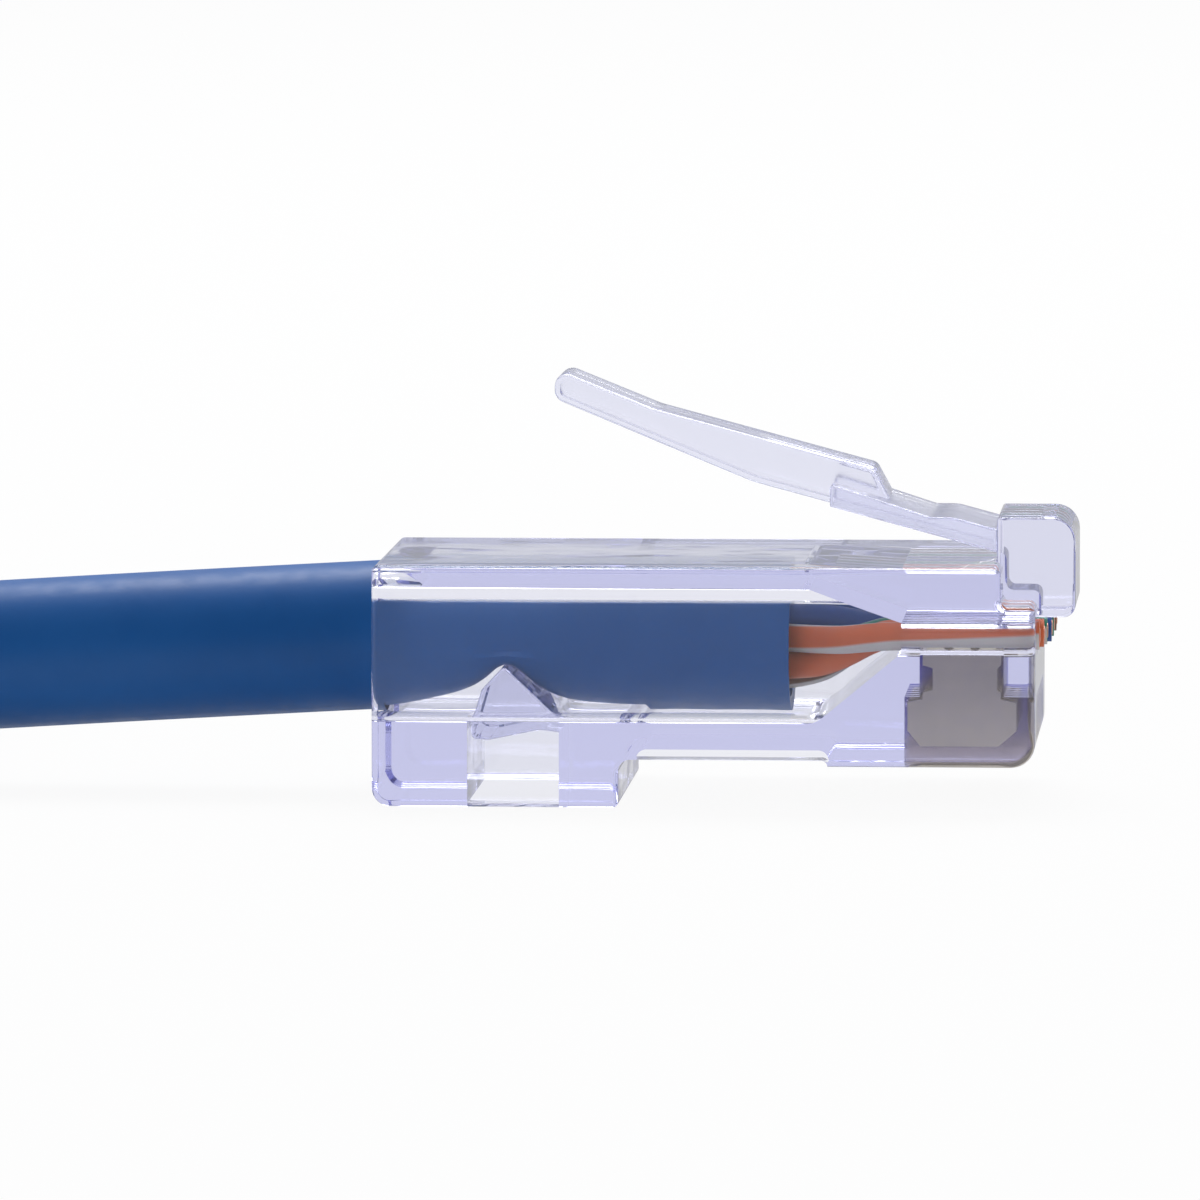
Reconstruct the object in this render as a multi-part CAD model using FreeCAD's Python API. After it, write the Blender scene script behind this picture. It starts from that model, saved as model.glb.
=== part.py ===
"""An eight-position modular plug, crimped on a round data cable, with the rest of its short lead.

Millimetres. +X points to the plug's nose, +Z up to its latch, +Y across. The near plug's bounding
box stands centred on the origin at Z = 0. A second plug of the same kind ends the lead.
"""
import FreeCAD, Part
import math
import os

V = FreeCAD.Vector

# ---- the moulded body, measured from its rear face (x) and its lowest face (z)
body_w = 11.68            # across the side faces
body_l = 21.95            # rear face to nose
nose_h = 6.61             # top face to the contact side
ledge_h = 1.4             # the rear ledge reaches this far below the nose
ledge_l = 8.18
ledge_r = (0.6, 0.2)      # its lower corners, rear and front
nose_r = 0.8              # lower corner of the nose
step_l = 1.15             # step at the top of the nose, under the latch root
step_h = 1.27
edge_r = 0.25             # corners of the side outline
edge_c = 0.15             # broken edges along both side faces
inner_r = 0.3             # inner corner in front of the ledge
past = 1.0                # cutters reach this far past a face

# ---- the cable and its bore
cable_d = 5.0
squeeze = 0.2             # the crimp takes this off the jacket's height and adds it to its width
bore_gap = 0.1            # above and below the squeezed jacket
bore_w = 8.6
roof_t = 0.3              # body wall over the bore
jacket_l = 13.7           # how far the jacket reaches in
round_share = 0.49        # corner radius of the jacket and of the bore's roof, of their heights
floor_r = 0.4             # lower corners of the bore
pass_l = 1.5              # depth of the jacket's open end
pass_gap = 0.16           # its clearance on the two rows of wires

# ---- the wires
pitch = 1.02
count = 8
wire_d = 0.94
core_d = 0.5              # copper inside
hole_gap = 0.03           # round each wire in its guide hole
hole_d = wire_d + 2 * hole_gap
web_cut = 0.36            # height of the slot that joins the guide holes
wire_roof = 2.4           # body top face to the wires' centre line
wire_out = (0.08, 0.42, 0.35, 0.45, 0.3, 0.42, 0.36, 0.45)  # cut ends stand this far out of the nose
bundle_gap = 0.02         # between wires inside the jacket
row_gap = wire_d + bundle_gap
row_rise = 0.48           # each of their two rows, from the cable's centre line
fan_x = (13.75, 15.9, 17.05)  # wires spread, lift into one row, run straight
fan_lag = 0.12            # each inner wire spreads this much later than the one outside it

# ---- the funnel that gathers the wires
funnel_low = 14.6         # its lower ramp starts
funnel_high = 14.4        # its upper ramp starts
funnel_end = 17.5
funnel_r = 1.0

# ---- contact blades
blade_t = 0.35
blade_gap = 0.025
blade_rear = 17.7
blade_l = 3.6             # foot of the blade
foot_h = 1.56             # from its lower edge
blade_h = 2.98            # without its teeth
blade_lift = 0.59         # lower edge above the contact side
foot_cut = (0.42, 0.6)    # its lower corners cut off, rear and front
foot_rise = 0.52          # height of those cuts
neck_in = (0.5, 0.52)     # neck set in from the foot, rear and front
notch = (0.33, 0.13)      # cut into the neck, rear and front
notch_at = (0.15, 0.8)    # its two ends, as shares of the neck's height
slant = 0.1               # its slanting ends, and the foot's shoulders
teeth = 3
tooth_reach = 0.1         # into the copper
slot_gap = 0.1

# ---- strain relief bar, pressed up into the jacket, and the window that it came from
bar_rear = 3.1
bar_front = 6.15
bar_w = 7.8
bar_gap = 0.12
bar_shape = [(3.6, 0.0), (3.1, 0.05), (1.2, 1.85, 0.15), (0.45, 1.05, 0.3), (0.12, -0.1, 0.2),
             (0.12, -0.55, 0.2), (0.7, -0.6, 0.2), (2.4, -0.25, 1.0), (3.6, -0.4)]
# x from the window's rear edge, z from the bore's floor, corner radius

# ---- recess under the body, between ledge and contacts
recess_x = (8.7, 15.1)
recess_w = 8.0
recess_h = 0.7
recess_r = 0.35

# ---- latch
latch_w = 6.0             # wide plate, up to the locking shoulders
lever_w = 3.25
plate_t = 0.74
lever_t = 1.5
tip_t = 1.05
slope = 15.0              # plate and lever, degrees
tip_slope = 22.5          # outer third of the lever
hinge_x = 20.45
hinge_up = 0.73           # hinge line above the body's top face
shoulder_l = 5.4          # hinge line to the locking shoulders
shoulder_r = 0.12
step_x = (16.45, 16.95)   # lever thins down to the plate
bend_x = 12.4             # underside bends here
bend_r = 4.0
bend_top_x = 9.2          # top bends here
bend_top_r = 3.0
tip_x = 5.8
tip_r = 0.42
hinge_gap = 0.03
root_l = 2.6              # block that carries the latch
root_front = 23.2
root_low = 0.55           # block's lower face above the wires' centre line
root_up = 1.47            # above the body's top face
root_gap = 0.1            # between the block and the level top of the plate's root
root_r = 0.8

# ---- the lead
tie_t = 0.5
tie_w = 6.0
tie_gap = 0.1
tie_angle = 60.0
coil_r = 26.5
coil_turns = 2
coil_at = (-57.8, 26.5)
arc_share = 0.45          # of the shorter run, taken up by each bend

# ---- worked out from the above
top_z = nose_h + ledge_h
bore_h = cable_d - squeeze + 2 * bore_gap
bore_top = top_z - roof_t
bore_low = bore_top - bore_h
cable_z = (bore_top + bore_low) / 2
wire_z = top_z - wire_roof
jacket_h = cable_d - squeeze
jacket_w = cable_d + squeeze
half_w = body_w / 2
hinge_z = top_z + hinge_up
row_frame = V(-root_front / 2, 0, 0)
blade_z = ledge_h + blade_lift
tan_slope = math.tan(math.radians(slope))
tan_tip = math.tan(math.radians(tip_slope))

# ---- points of the lead, chosen by hand in the row frame: from the near plug into the coil, and from
# the coil's upper turn over its own crossing, down and round to the far plug
lead_route = [(row_frame.x, 0.0, cable_z), (-23.0, 0.1, 4.57), (-34.7, 0.6, 3.7), (-46.5, 0.5, 3.12),
              (-57.8, 0.0, 3.0)]
tail_route = [(-31.4, 18.2, 8.0), (-37.2, 8.1, 9.4), (-46.1, 0.7, 11.6), (-57.0, -3.3, 12.0),
              (-70.2, -3.3, 11.8), (-80.6, 1.0, 9.9), (-88.6, 9.0, 7.6), (-92.9, 19.4, 5.7),
              (-92.9, 30.4, cable_z)]


def bend(before, corner, after, radius):
    """Tangent points and middle of the arc that rounds one corner."""
    u = (before - corner).normalize()
    w = (after - corner).normalize()
    half = u.getAngle(w) / 2
    reach = radius / math.tan(half)
    middle = (u + w).normalize() * (radius / math.sin(half) - radius)
    return corner + u * reach, corner + middle, corner + w * reach


def rounded(points, radii, closed):
    """Wire of straight runs through points, each corner rounded by its radius."""
    size = len(points)
    first, last = (0, size) if closed else (1, size - 1)
    ends = []
    edges = []
    for i in range(first, last):
        if radii[i] > 0:
            arc = bend(points[i - 1], points[i], points[(i + 1) % size], radii[i])
            ends.append((arc[0], arc[2]))
            edges.append(Part.Arc(*arc).toShape())
        else:
            ends.append((points[i], points[i]))
    if not closed:
        ends = [(points[0], points[0])] + ends + [(points[-1], points[-1])]
    runs = len(ends) if closed else len(ends) - 1
    for i in range(runs):
        start = ends[i][1]
        stop = ends[(i + 1) % len(ends)][0]
        edges.append(Part.LineSegment(start, stop).toShape())
    return Part.Wire(Part.__sortEdges__(edges))


def side_plate(corners, width, y=0.0):
    """Plate of a side outline, its corners given as x, z and radius, centred on y."""
    points = [V(c[0], y - width / 2, c[1]) for c in corners]
    radii = [c[2] if len(c) > 2 else 0 for c in corners]
    return Part.Face(rounded(points, radii, True)).extrude(V(0, width, 0))


def box(x, y, z):
    """Box between two values on each axis."""
    return Part.makeBox(x[1] - x[0], y[1] - y[0], z[1] - z[0], V(x[0], y[0], z[0]))


def break_edges(plate, half):
    """Plate with the rims of both its side faces broken."""
    rims = [e for e in plate.Edges if all(abs(abs(v.Y) - half) < 1e-6 for v in e.Vertexes)]
    return plate.makeChamfer(edge_c, rims)


def oval(width, height, low_r, high_r, length, x, z):
    """Rod of oblong section along X, its lower and upper corners rounded."""
    half = width / 2
    low, high = z - height / 2, z + height / 2
    corners = [V(x, -half, low), V(x, half, low), V(x, half, high), V(x, -half, high)]
    return Part.Face(rounded(corners, [low_r, low_r, high_r, high_r], True)).extrude(V(length, 0, 0))


def sweep(path, diameter):
    """Round rod along a path, mitred where the path has a corner."""
    start = path.OrderedEdges[0]
    at = start.valueAt(start.FirstParameter)
    along = start.tangentAt(start.FirstParameter)
    ring = Part.Wire(Part.makeCircle(diameter / 2, at, along))
    return path.makePipeShell([ring], True, False, 1)


def soft_route(points):
    """Path of a free cord: each bend as large as its two runs allow."""
    at = [V(*p) for p in points]
    radii = [0.0] * len(at)
    for i in range(1, len(at) - 1):
        before = at[i - 1] - at[i]
        after = at[i + 1] - at[i]
        half_turn = (math.pi - before.getAngle(after)) / 2
        radii[i] = arc_share * min(before.Length, after.Length) / math.tan(half_turn)
    print("bend radii:", [round(r, 1) for r in radii[1:-1]])
    return rounded(at, radii, False)


def wire_y(i):
    """Place across the plug of wire and contact i, counted from 0."""
    return (i - (count - 1) / 2) * pitch


def body_block():
    """Outside of the moulding: nose, stepped top, rear ledge and the block that carries the latch."""
    outline = [(0, 0, ledge_r[0]), (ledge_l, 0, ledge_r[1]), (ledge_l, ledge_h, inner_r),
               (body_l, ledge_h, nose_r), (body_l, top_z - step_h, edge_r),
               (body_l - step_l, top_z - step_h, edge_r), (body_l - step_l, top_z, edge_r),
               (0, top_z, edge_r)]
    block = break_edges(side_plate(outline, body_w), half_w)
    low, high, rear = wire_z + root_low, top_z + root_up, root_front - root_l
    carrier = side_plate([(rear, low), (root_front, low, root_r / 2), (root_front, high, root_r),
                          (rear, high, edge_r / 2)], latch_w)
    return block.fuse(carrier).removeSplitter()


def bore():
    """Rounded bore for the cable, closing down to the row of wires."""
    tunnel = oval(bore_w, bore_h, floor_r, bore_h * round_share, funnel_end + 2 * past, -past, cable_z)
    low = wire_z - hole_d / 2
    high = wire_z + hole_d / 2
    profile = side_plate([(-past, bore_low), (funnel_low, bore_low, funnel_r), (funnel_end, low),
                          (funnel_end, high), (funnel_high, bore_top, funnel_r), (-past, bore_top)],
                         body_w)
    return tunnel.common(profile)


def wire_holes():
    """Guide holes through the nose, joined by a thin slot."""
    length = body_l - funnel_end + 2 * past
    start = funnel_end - past / 2
    cut = box((start, start + length), (wire_y(0), wire_y(count - 1)),
              (wire_z - web_cut / 2, wire_z + web_cut / 2))
    for i in range(count):
        cut = cut.fuse(Part.makeCylinder(hole_d / 2, length, V(start, wire_y(i), wire_z), V(1, 0, 0)))
    return cut


def blade_slot(i):
    """Slot of contact i, open below and at the nose's lower front."""
    rear, front = blade_rear - slot_gap, body_l + past
    neck_rear = blade_rear + neck_in[0] - slot_gap
    neck_front = blade_rear + blade_l - neck_in[1] + slot_gap
    low, foot = ledge_h - past, blade_z + foot_h + slot_gap
    outline = [(rear, low), (front, low), (front, foot), (neck_front, foot), (neck_front, wire_z),
               (neck_rear, wire_z), (neck_rear, foot), (rear, foot)]
    return side_plate(outline, blade_t + 2 * blade_gap, wire_y(i))


def relief_bar():
    """Bar pressed up into the jacket, still hinged to the moulding at its front edge."""
    return side_plate([(bar_rear + p[0], bore_low + p[1], *p[2:]) for p in bar_shape], bar_w)


def make_housing():
    """The clear moulding."""
    body = body_block()
    body = body.cut(bore())
    body = body.cut(wire_holes())
    for i in range(count):
        body = body.cut(blade_slot(i))
    window = box((bar_rear, bar_front), (-bar_w / 2 - bar_gap, bar_w / 2 + bar_gap), (-past, cable_z))
    roof = ledge_h + recess_h
    recess = side_plate([(recess_x[0], 0), (recess_x[1], 0), (recess_x[1], roof, recess_r),
                         (recess_x[0], roof, recess_r)], recess_w)
    body = body.cut(window).cut(recess).fuse(relief_bar())
    knuckle = Part.makeCylinder(plate_t / 2 + hinge_gap, latch_w + past,
                                V(hinge_x, -(latch_w + past) / 2, hinge_z), V(0, 1, 0))
    return body.cut(knuckle).removeSplitter()


def under(x):
    """Height of the latch's underside."""
    root = hinge_z - plate_t / 2 / math.cos(math.radians(slope))
    straight = root + (hinge_x - max(x, bend_x)) * tan_slope
    return straight + max(bend_x - x, 0) * tan_tip


def make_latch():
    """Wide springy plate, its locking shoulders, and the narrow lever behind them."""
    cos_slope = math.cos(math.radians(slope))
    plate_rise = plate_t / cos_slope
    lever_rise = lever_t / cos_slope
    shoulder = hinge_x - shoulder_l
    level = top_z + root_up
    level_x = hinge_x - (level - under(hinge_x) - plate_rise) / tan_slope
    end = root_front - root_l - root_gap
    plate = side_plate([(hinge_x, under(hinge_x)), (hinge_x, hinge_z), (end, hinge_z), (end, level),
                        (level_x, level), (shoulder, under(shoulder) + plate_rise, shoulder_r),
                        (shoulder, under(shoulder))], latch_w)
    root = Part.makeCylinder(plate_t / 2, latch_w, V(hinge_x, -latch_w / 2, hinge_z), V(0, 1, 0))
    over = under(step_x[0]) + lever_rise + (step_x[0] - bend_top_x) * tan_slope
    lever = side_plate([(step_x[1], under(step_x[1])), (step_x[1], under(step_x[1]) + plate_rise),
                        (step_x[0], under(step_x[0]) + lever_rise, 2 * edge_c), (bend_top_x, over, bend_top_r),
                        (tip_x, under(tip_x) + tip_t, tip_r), (tip_x, under(tip_x), tip_r),
                        (bend_x, under(bend_x), bend_r)], lever_w)
    lever = break_edges(lever, lever_w / 2)
    return plate.fuse(root).fuse(lever).removeSplitter()


def make_contact(i):
    """Stamped blade: foot, notched neck and the teeth that pierce the wire."""
    rear, front = blade_rear, blade_rear + blade_l
    neck_rear, neck_front = rear + neck_in[0], front - neck_in[1]
    foot, top = blade_z + foot_h, blade_z + blade_h
    low, high = (foot + (top - foot) * share for share in notch_at)
    outline = [(rear + foot_cut[0], blade_z), (front - foot_cut[1], blade_z), (front, blade_z + foot_rise),
               (front, foot - slant), (neck_front, foot), (neck_front, low), (neck_front - notch[1], low + slant),
               (neck_front - notch[1], high - slant), (neck_front, high), (neck_front, top)]
    tip = wire_z - core_d / 2 + tooth_reach
    tooth_w = (neck_front - neck_rear) / teeth
    for k in range(teeth):
        edge = neck_front - k * tooth_w
        outline += [(edge - tooth_w / 2, tip), (edge - tooth_w, top)]
    outline += [(neck_rear, high), (neck_rear + notch[0], high - slant), (neck_rear + notch[0], low + slant),
                (neck_rear, low), (neck_rear, foot), (rear, foot - slant), (rear, blade_z + foot_rise)]
    return side_plate(outline, blade_t, wire_y(i))


def wire_path(i):
    """From the jacket's open end, fanning out between two rows and then lifting into one."""
    side = 1 if i % 2 == 0 else -1
    y = (i // 2 - 1.5) * row_gap - side * row_gap / 4
    z = cable_z + side * row_rise
    spread = fan_x[0] + fan_lag * min(i, count - 1 - i)
    return Part.makePolygon([V(jacket_l - pass_l, y, z), V(spread, y, z), V(fan_x[1], wire_y(i), z),
                             V(fan_x[2], wire_y(i), wire_z), V(body_l + wire_out[i], wire_y(i), wire_z)])


def make_wire(i, blade):
    """Insulated wire i, pierced from below by its contact."""
    return sweep(wire_path(i), wire_d).cut(blade)


def make_jacket():
    """End of the cable's jacket: squeezed oval, dented by the bar, open where the wires leave."""
    round_r = jacket_h * round_share
    end = oval(jacket_w, jacket_h, round_r, round_r, jacket_l, 0, cable_z)
    wide = row_gap * 3.5 + wire_d + pass_gap
    high = row_rise * 2 + wire_d + pass_gap
    mouth = oval(wide, high, wire_d / 2, wire_d / 2, pass_l + past, jacket_l - pass_l, cable_z)
    return end.cut(mouth).cut(relief_bar())


def make_plug():
    """All pieces of one plug, by name."""
    pieces = {"housing": make_housing(), "latch": make_latch(), "jacket_end": make_jacket()}
    for i in range(count):
        blade = make_contact(i)
        pieces[f"contact_{i + 1}"] = blade
        pieces[f"wire_{i + 1}"] = make_wire(i, blade)
    return pieces


def coil_section(grow, aside=0.0):
    """Eight-sided outline of the stacked turns, in the plane of X and Z, widened by grow."""
    half = cable_d / 2
    wide = half + grow + aside
    low, high = tie_t - grow, tie_t + coil_turns * cable_d + grow
    flat = half / 2 + aside
    return [(-wide, low + half), (-flat, low), (flat, low), (wide, low + half),
            (wide, high - half), (flat, high), (-flat, high), (-wide, high - half)]


def make_coil():
    """Outer shape of the coiled turns, one on the other."""
    corners = [V(coil_r + x, 0, z) for x, z in coil_section(0)]
    ring = Part.Face(Part.makePolygon(corners + corners[:1])).revolve(V(0, 0, 0), V(0, 0, 1), 360)
    ring.translate(V(coil_at[0], coil_at[1], 0))
    return ring


def make_tie():
    """Soft strap round the coiled turns, eased for their curve."""
    sag = tie_w ** 2 / 8 / (coil_r - cable_d / 2) + tie_gap
    strap = side_plate(coil_section(tie_t, sag), tie_w)
    strap = strap.cut(side_plate(coil_section(0, sag), tie_w + 2))
    strap.translate(V(coil_r, 0, 0))
    strap.rotate(V(0, 0, 0), V(0, 0, 1), tie_angle)
    strap.translate(V(coil_at[0], coil_at[1], 0))
    return strap


os.makedirs("parts", exist_ok=True)
plug = make_plug()
far_place = FreeCAD.Placement(V(tail_route[-1][0], tail_route[-1][1], 0), FreeCAD.Rotation(V(0, 0, 1), 90))
for name, shape in plug.items():
    near = shape.copy()
    near.translate(row_frame)
    near.exportStep(f"parts/{name}.step")
    far = shape.copy()
    far.Placement = far_place.multiply(far.Placement)
    far.exportStep(f"parts/far_{name}.step")

for name, route in (("cord_lead", lead_route), ("cord_tail", tail_route)):
    path = soft_route(route)
    tube = sweep(path, cable_d)
    share = tube.Volume / (math.pi * (cable_d / 2) ** 2 * path.Length)
    print(name, "length", round(path.Length, 2), "volume over section times length", round(share, 4))
    tube.exportStep(f"parts/{name}.step")
make_coil().exportStep("parts/cord_coil.step")
make_tie().exportStep("parts/coil_tie.step")
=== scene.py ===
"""Looks of a clear modular plug crimped on a round data cable, in the frame of its CAD model.

Lengths of the plug's pieces are in millimetres from its rear face, its mid-plane and the surface
that it rests on. The lead's points are in millimetres in the row frame. Both become metres when
a piece is made. The stage, the lamps, the camera and the textures are in metres.
"""
import math
import bmesh
import bpy
from mathutils import Matrix, Vector


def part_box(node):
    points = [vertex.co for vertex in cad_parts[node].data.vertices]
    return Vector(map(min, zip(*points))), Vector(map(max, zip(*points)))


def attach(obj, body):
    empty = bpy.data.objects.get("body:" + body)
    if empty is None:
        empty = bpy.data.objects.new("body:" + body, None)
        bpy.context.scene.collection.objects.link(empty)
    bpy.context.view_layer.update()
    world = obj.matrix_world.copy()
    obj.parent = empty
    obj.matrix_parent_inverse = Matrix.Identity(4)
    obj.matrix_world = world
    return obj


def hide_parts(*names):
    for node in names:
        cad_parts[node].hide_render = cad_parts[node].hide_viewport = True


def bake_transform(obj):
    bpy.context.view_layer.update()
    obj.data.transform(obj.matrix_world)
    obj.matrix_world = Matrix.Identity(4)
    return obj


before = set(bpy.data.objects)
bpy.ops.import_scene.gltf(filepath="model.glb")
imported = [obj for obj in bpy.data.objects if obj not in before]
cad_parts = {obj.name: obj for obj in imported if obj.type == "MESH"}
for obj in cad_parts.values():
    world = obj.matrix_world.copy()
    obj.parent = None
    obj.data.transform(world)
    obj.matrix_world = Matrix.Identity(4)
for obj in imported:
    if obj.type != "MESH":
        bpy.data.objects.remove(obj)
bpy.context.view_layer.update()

MM = 0.001

# ---- places taken from the CAD model
housing_low, housing_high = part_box("housing")
far_low, far_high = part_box("far_housing")
near_place = Matrix.Translation((housing_low[0], 0, 0))
far_place = (Matrix.Translation(((far_low[0] + far_high[0]) / 2, far_low[1], 0))
             @ Matrix.Rotation(math.pi / 2, 4, "Z"))

# ---- the moulding
body_w = (housing_high[1] - housing_low[1]) / MM
half_w = body_w / 2
body_l = 21.95
top_z = 8.01
ledge_l, ledge_h = 8.18, 1.4
ledge_r = (0.6, 0.2, 0.3)      # its rear and front corners, and where it meets the underside
step_l, step_h = 1.15, 1.27
nose_r = 0.8
edge_r = 0.25
rim_r = 0.26
past = 1.0                     # how far cutters run out of the moulding

# ---- bore, funnel and guide holes
bore_w, bore_low, bore_top = 8.6, 2.71, 7.71
bore_roof = 7.2
floor_r = 0.4
roof_cut, roof_r, roof_over = 0.42, 0.2, 0.02
mouth_l, mouth_flat, mouth_side, mouth_over = 1.6, 0.5, 0.5, 0.1
mouth_wider, mouth_narrower = 0.25, 0.2
mouth_r, mouth_slope_r = 1.2, 0.3
behind = 1.2                   # where the bore's side profile starts, behind the rear face
cable_z = (bore_low + bore_top) / 2
funnel_low, funnel_high, funnel_end, funnel_r = 14.6, 14.4, 17.5, 1.0
wire_z = 5.61
pitch, count = 1.02, 8
hole_d, hole_drop, hole_sides = 1.0, 0.15, 28
web_cut = 0.36
# the cutters of web, holes and slots end at slightly different places, so that no faces coincide
web_before, hole_before = 0.31, 0.3
hole_past, slot_past = 1.1, 1.2

# ---- blade slots, window, recess and strain relief bar
slot_w, slot_low, slot_gap = 0.4, 0.2, 0.1
foot_h = 1.66
neck_rear, neck_front = 0.4, 0.42
bar_rear, bar_front, bar_w, bar_gap, bar_rim = 3.1, 6.15, 7.8, 0.12, 0.1
bar_shape = [(3.6, 0.0), (3.1, 0.05), (1.2, 1.85, 0.15), (0.45, 1.05, 0.3), (0.12, -0.1, 0.2),
             (0.12, -0.55, 0.2), (0.7, -0.6, 0.2), (2.4, -0.25, 1.0), (3.6, -0.4)]
recess_x, recess_w, recess_h, recess_r = (8.7, 15.1), 8.0, 0.45, 0.35
underside_step, underside_r = 0.22, (0.2, 0.4)

# ---- latch
latch_w, lever_w = 6.0, 3.25
plate_t, lever_t, tip_t = 0.74, 1.5, 1.05
slope, tip_slope = math.radians(15.0), math.radians(22.5)
hinge_x, hinge_z = 20.45, top_z + 0.73
shoulder_x = hinge_x - 5.4
shoulder_r = (0.12, 0.05)
step_x, step_r = (16.45, 16.95), 0.35
bend_x, bend_top_x, tip_x = 12.4, 9.2, 5.8
bend_r, bend_top_r, tip_r = 4.0, 3.0, 0.42
root_rear, root_front, root_low, root_top = 20.6, 23.2, 6.16, 9.48
root_r, root_rim = 0.8, 0.12
plate_rim, lever_rim = 0.1, 0.2
seam = 0.004                   # between the latch's plate and its root
lap = 0.001                    # how deep the lever starts inside the plate
flex_step, flex_count = 0.2, 12

# ---- cable and wires
cable_d = 5.0
pressed_w, pressed_h = 2.9, 2.16
jacket_l, jacket_wall = 13.7, 0.45
jacket_lip, jacket_hollow = 0.05, 1.5
jacket_sides, jacket_rings = 64, 90
squeeze_l = 1.5                # length over which the round jacket turns oval
floor_gap = 0.1
squareness = 0.2               # of the oval's upper half
dent = [(0.2, 0.02), (1.0, 0.1), (2.0, 0.42), (2.7, 0.65), (3.4, 1.0), (3.8, 1.4), (4.2, 1.75),
        (4.5, 1.72), (4.9, 1.3), (5.4, 0.8), (6.0, 0.4), (6.7, 0.18), (8.0, 0.02), (8.6, 0.0)]
dent_reach = 0.25              # each value of the dent is a mean of three places this far apart
dent_soft, dent_depth, dent_top, dent_bulge = 0.25, 2, 0.3, 0.04
wire_d, core_d = 0.94, 0.5
bundle = [(-1.45, 0.14), (-1.2, -0.78), (-0.25, -0.4), (-0.75, 0.78),
          (0.15, 1.1), (0.95, 0.5), (0.35, -1.25), (1.1, -0.5)]
wire_in = (1.4, 0.2)           # places behind the jacket's open end, where a wire runs straight
fan = [(14.6, 0.38, 0.1), (15.5, 0.84, 0.4), (16.4, 1.0, 0.8)]   # x, share of the way across and up
wire_level = (17.2, 19.0)
wire_out = (0.08, 0.2, 0.28, 0.4, 0.3, 0.42, 0.36, 0.45)
core_in, core_out, core_tip = 1.0, (0.02, 0.03), 0.9
stripe_start, stripe_wind = 0.99, -0.015     # in turns, and in turns per millimetre
stripe_edge = (0.13, 0.16)     # where a stripe ends, in turns from its middle

# ---- how finely shapes are made
arc_steps, rim_steps, path_steps = 8, 5, 8
wire_sides, core_sides = 20, 16
least_r = 0.0005
straight = 1e-6                # turn below which a corner isn't rounded
smooth_angle = math.radians(35.0)
worn_edge = 0.03
wall_facing = 0.9              # how squarely a slot's side wall faces across the plug

# ---- the lead and its strap
lead_route = [(-11.6, 0.0, 5.21), (-23.0, 0.1, 4.57), (-34.7, 0.6, 3.7), (-46.5, 0.5, 3.12),
              (-57.8, 0.0, 3.0)]
tail_route = [(-31.4, 18.2, 8.0), (-37.2, 8.1, 9.4), (-46.1, 0.7, 11.6), (-57.0, -3.3, 12.0),
              (-70.2, -3.3, 11.8), (-80.6, 1.0, 9.9), (-88.6, 9.0, 7.6), (-92.9, 19.4, 5.7),
              (-92.9, 30.4, 5.21)]
coil_at, coil_r, coil_turns = (-57.8, 26.5), 26.5, 2
turn_points = 16               # points in each turn
coiled = 1.75                  # turns up to where the tail takes over
climb = (0.84, 0.99)           # the part of the first turn over which it rises onto itself
tie_t, tie_slack = 0.5, 0.3
tie_half, tie_rim = 3.0, 0.12
tie_angle = math.radians(60.0)

# ---- light: each pair is a level at the front (-Y) and at the back (+Y) of the stage
off_levels = (0.28, 0.62)      # what gloss sees of floor and room
floor_levels = (0.45, 1.0)     # what glass sees of the floor
wall_levels = (0.9, 1.0)       # what glass sees of the room
room_levels = (0.04, 0.55)     # how strongly the room lights the object
floor_turn = (-0.06, -0.01)    # where the floor changes from front to back
room_turn = (-0.9, 0.1)        # and the direction in which the room does
off_hue = (0.86, 0.88, 1.0)
room_hue = (0.95, 0.97, 1.0)
floor_hue = (0.86, 0.86, 0.87)
floor_fill = 0.94
stage_r, stage_drop = 3.0, 0.00002
lamps = [("overhead", (0.0, 0.35, 0.65), 0.5, 3.4), ("front", (0.3, -0.6, 0.35), 0.5, 0.3)]

# ---- camera: a long lens, a little above the plug and towards its nose
view_azimuth, view_elevation = math.radians(3.65), math.radians(5.0)
view_from = 0.409
view_scale = 30.3 / MM         # for a picture of view_pixels
view_pixels = 1200
sensor = 36.0
aim = (-4.01 * MM, -5.84 * MM, 6.91 * MM)


# ------------------------------------------------------------------ outlines and solids
def smoothstep(t):
    t = min(max(t, 0.0), 1.0)
    return t * t * (3 - 2 * t)


def rectangle(u_low, u_high, v_low, v_high, high_r=0, low_r=0):
    """Corners of a rectangle, its upper two rounded."""
    return [(u_low, v_low), (u_high, v_low), (u_high, v_high, high_r), (u_low, v_high, low_r)]


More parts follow.
